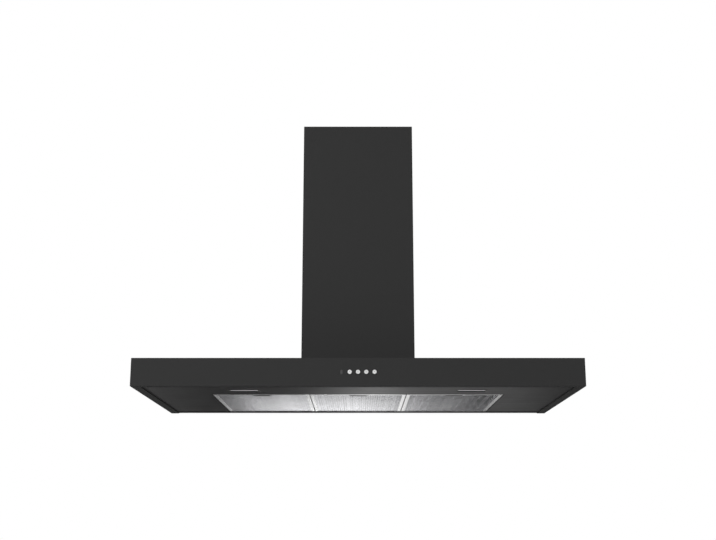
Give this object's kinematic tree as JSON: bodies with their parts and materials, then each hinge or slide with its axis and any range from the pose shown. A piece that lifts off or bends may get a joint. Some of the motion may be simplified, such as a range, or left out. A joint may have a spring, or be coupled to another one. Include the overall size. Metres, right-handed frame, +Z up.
{
  "type": "chimney range hood",
  "caption": "Wall-mounted chimney range hood: wide shallow matt black canopy with tilting mesh filters, lamps, push buttons and a telescopic chimney cover.",
  "frame": {"origin": "middle of the hood's lower edge on the wall plane", "axes": "+Z up, the cook stands at -Y, +X to the right seen from the cook, the wall is y = 0"},
  "size_m": [1.1, 0.503, 0.778],
  "materials": {
    "matt_black": "matt black powder coat",
    "underside_black": "satin black enamel",
    "zinc_sheet": "galvanised sheet",
    "filter_aluminium": "satin rolled aluminium",
    "mesh_aluminium": "expanded aluminium mesh",
    "latch_plastic": "moulded dark grey",
    "button_metal": "satin metal",
    "pilot_plastic": "smoked lens",
    "black_plastic": "moulded black",
    "grey_plastic": "moulded grey",
    "lens_plastic": "frosted",
    "board_green": "solder mask",
    "motor_steel": "satin grey",
    "shaft_steel": "ground steel",
    "bush_bronze": "sintered bronze",
    "rubber": "moulded rubber",
    "capacitor_can": "drawn can",
    "screw_zinc": "zinc plated"
  },
  "bodies": {
    "hood": {"blower_box": "zinc_sheet", "cable_gland": "grey_plastic", "canopy_back": "zinc_sheet", "canopy_shell": "matt_black", "capacitor_clamp": "black_plastic", "duct_collar": "black_plastic", "electronics_box": "black_plastic", "electronics_lid": "black_plastic", "filter_ledge": "underside_black", "flap_pin": "shaft_steel", "foot_screws": "screw_zinc", "gland_locknut": "grey_plastic", "lamp_clips": "shaft_steel", "lamp_housing_left": "black_plastic", "lamp_housing_right": "black_plastic", "lamp_lens_left": "lens_plastic", "lamp_lens_right": "lens_plastic", "led_driver": "grey_plastic", "lower_chimney": "matt_black", "motor": "motor_steel", "motor_bushes": "bush_bronze", "motor_capacitor": "capacitor_can", "motor_grommets": "rubber", "motor_screws": "screw_zinc", "motor_spider": "zinc_sheet", "outlet_plate": "zinc_sheet", "pilot_lens": "pilot_plastic", "plate_screws": "screw_zinc", "scroll_left": "grey_plastic", "scroll_right": "grey_plastic", "switch_block": "black_plastic", "switch_board": "board_green", "tray_side_left": "underside_black", "tray_side_right": "underside_black", "underside_tray": "underside_black"},
    "impeller": {"blower_wheel": "grey_plastic", "motor_shaft": "shaft_steel"},
    "flap_front": {"flap_front": "grey_plastic"},
    "flap_rear": {"flap_rear": "grey_plastic"},
    "upper_cover": {"upper_chimney": "matt_black", "chimney_bracket": "zinc_sheet", "bracket_screws": "screw_zinc"},
    "button_light": {"button_light": "button_metal"},
    "button_low": {"button_low": "button_metal"},
    "button_medium": {"button_medium": "button_metal"},
    "button_high": {"button_high": "button_metal"},
    "filter_left": {"filter_frame_left": "filter_aluminium", "filter_mesh_left": "mesh_aluminium", "latch_housing_left": "latch_plastic"},
    "latch_left": {"latch_handle_left": "latch_plastic"},
    "filter_centre": {"filter_frame_centre": "filter_aluminium", "filter_mesh_centre": "mesh_aluminium", "latch_housing_centre": "latch_plastic"},
    "latch_centre": {"latch_handle_centre": "latch_plastic"},
    "filter_right": {"filter_frame_right": "filter_aluminium", "filter_mesh_right": "mesh_aluminium", "latch_housing_right": "latch_plastic"},
    "latch_right": {"latch_handle_right": "latch_plastic"}
  },
  "joints": [
    {"name": "press_light", "type": "slide", "parent": "hood", "child": "button_light", "axis": [0, 1, 0], "range_m": [0, 0.0025], "stiffness_N_per_m": 600, "springref_m": -0.001},
    {"name": "press_low", "type": "slide", "parent": "hood", "child": "button_low", "axis": [0, 1, 0], "range_m": [0, 0.0025], "stiffness_N_per_m": 600, "springref_m": -0.001},
    {"name": "press_medium", "type": "slide", "parent": "hood", "child": "button_medium", "axis": [0, 1, 0], "range_m": [0, 0.0025], "stiffness_N_per_m": 600, "springref_m": -0.001},
    {"name": "press_high", "type": "slide", "parent": "hood", "child": "button_high", "axis": [0, 1, 0], "range_m": [0, 0.0025], "stiffness_N_per_m": 600, "springref_m": -0.001},
    {"name": "tilt_filter_left", "type": "hinge", "parent": "hood", "child": "filter_left", "pos_m": [-0.25, -0.02, 0.006], "axis": [1, 0, 0], "range_deg": [0, 75]},
    {"name": "slide_latch_left", "type": "slide", "parent": "filter_left", "child": "latch_left", "axis": [0, 1, 0], "range_m": [0, 0.007], "stiffness_N_per_m": 400, "springref_m": -0.004},
    {"name": "tilt_filter_centre", "type": "hinge", "parent": "hood", "child": "filter_centre", "pos_m": [0, -0.02, 0.006], "axis": [1, 0, 0], "range_deg": [0, 75]},
    {"name": "slide_latch_centre", "type": "slide", "parent": "filter_centre", "child": "latch_centre", "axis": [0, 1, 0], "range_m": [0, 0.007], "stiffness_N_per_m": 400, "springref_m": -0.004},
    {"name": "tilt_filter_right", "type": "hinge", "parent": "hood", "child": "filter_right", "pos_m": [0.25, -0.02, 0.006], "axis": [1, 0, 0], "range_deg": [0, 75]},
    {"name": "slide_latch_right", "type": "slide", "parent": "filter_right", "child": "latch_right", "axis": [0, 1, 0], "range_m": [0, 0.007], "stiffness_N_per_m": 400, "springref_m": -0.004},
    {"name": "spin_impeller", "type": "hinge", "parent": "hood", "child": "impeller", "pos_m": [0, -0.091, 0.184], "axis": [-1, 0, 0], "continuous": true},
    {"name": "lift_flap_front", "type": "hinge", "parent": "hood", "child": "flap_front", "pos_m": [0, -0.142, 0.323], "axis": [-1, 0, 0], "range_deg": [0, 75]},
    {"name": "lift_flap_rear", "type": "hinge", "parent": "hood", "child": "flap_rear", "pos_m": [0, -0.142, 0.323], "axis": [1, 0, 0], "range_deg": [0, 75]},
    {"name": "raise_upper_cover", "type": "slide", "parent": "hood", "child": "upper_cover", "axis": [0, 0, 1], "range_m": [0, 0.38]}
  ]
}
